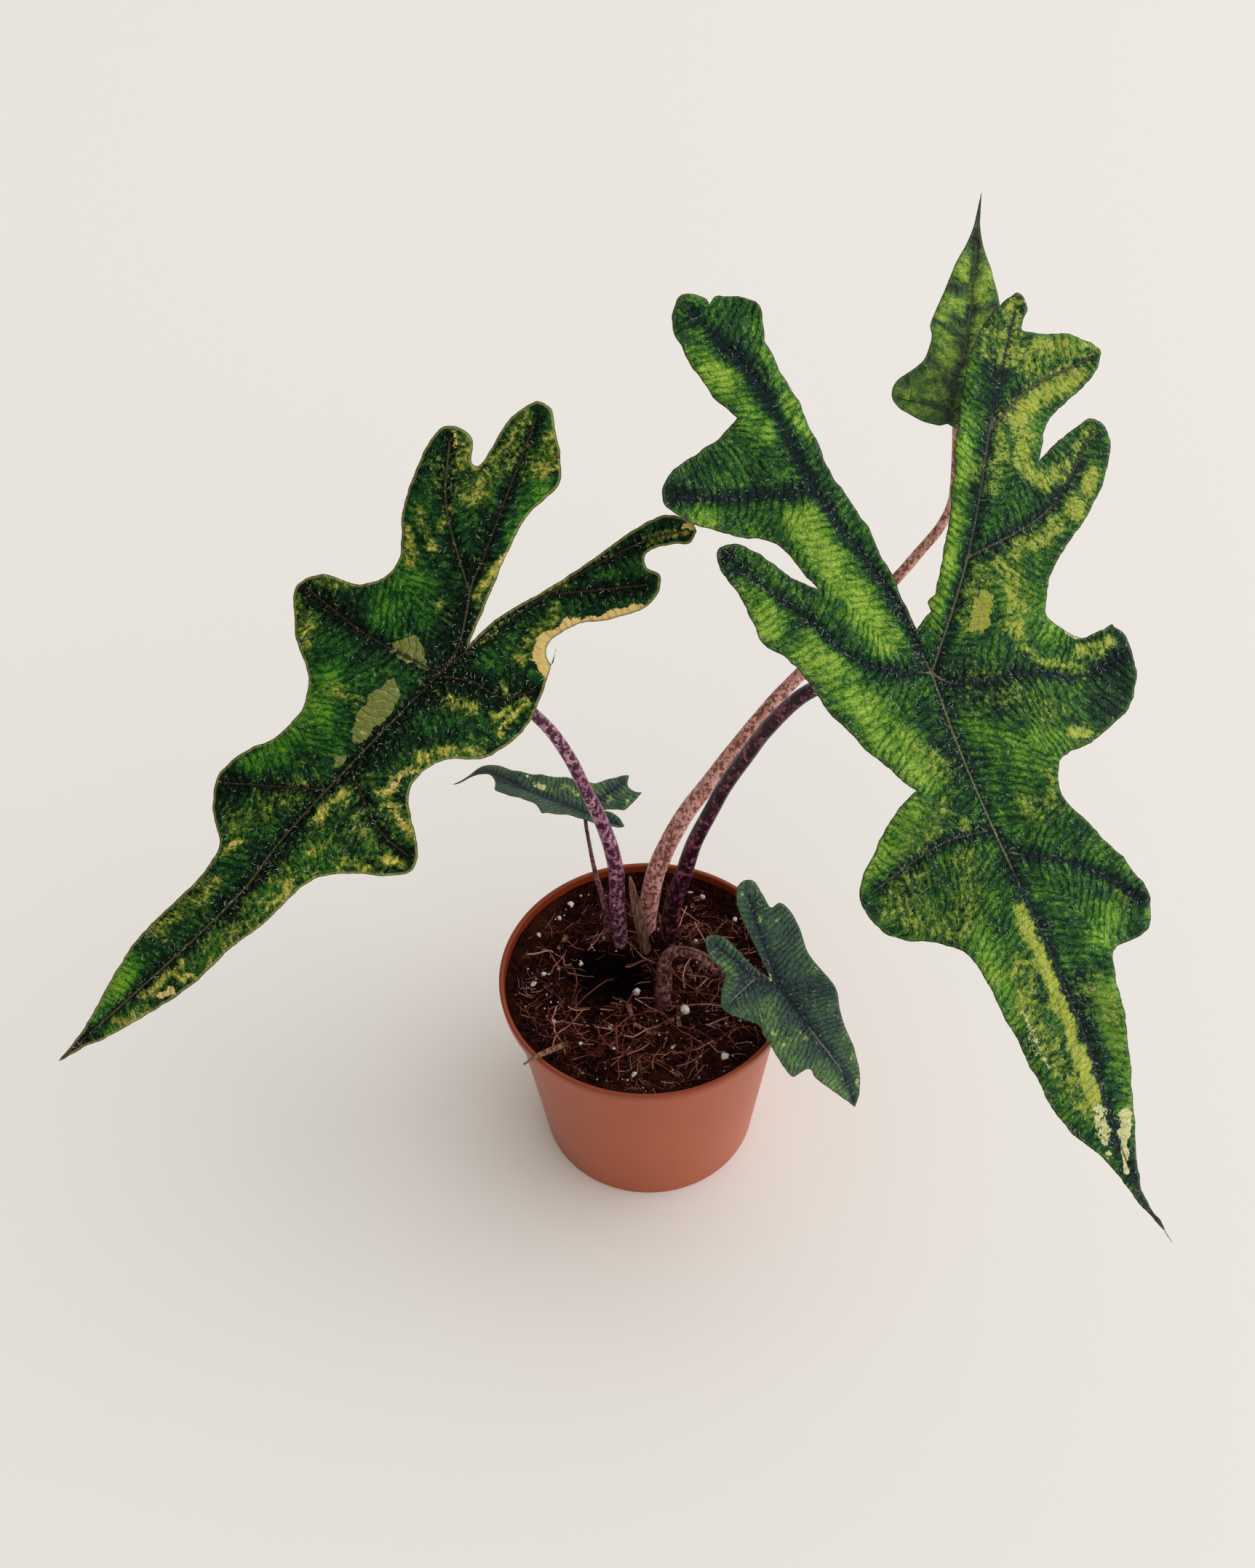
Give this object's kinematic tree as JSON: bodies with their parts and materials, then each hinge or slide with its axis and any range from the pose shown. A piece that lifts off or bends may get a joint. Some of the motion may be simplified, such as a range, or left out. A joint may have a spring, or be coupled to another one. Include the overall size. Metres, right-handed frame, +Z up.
{
  "type": "potted alocasia plant",
  "caption": "Potted jacklyn alocasia: lobed, variegated leaves on long arching stems in a round terracotta-coloured nursery pot.",
  "frame": {"origin": "centre of the pot's flat underside", "axes": "+Z up along the pot's axis, -Y towards the front of the plant, +X to the right of the front"},
  "size_m": [0.3791, 0.3207, 0.3613],
  "materials": {
    "leaf": "satin, finely haired green leaf with yellow variegation",
    "young_leaf": "satin young leaf, yellow-green",
    "stem": "smooth mauve stem mottled with maroon",
    "dark_stem": "smooth dark maroon stem",
    "pale_stem": "smooth pinkish tan stem, finely speckled",
    "sheath": "dry papery olive-brown",
    "pot": "satin moulded plastic, terracotta colour",
    "soil": "rough peat and coir with white grains"
  },
  "bodies": {
    "root": {"left_leaf_blade": "leaf", "left_leaf_stem": "stem", "right_leaf_blade": "leaf", "right_leaf_stem": "dark_stem", "back_leaf_blade": "young_leaf", "back_leaf_stem": "pale_stem", "rear_small_leaf_blade": "leaf", "rear_small_leaf_stem": "stem", "front_small_leaf_blade": "leaf", "front_small_leaf_stem": "stem", "sheath": "sheath", "pot": "pot", "soil": "soil"}
  },
  "joints": []
}
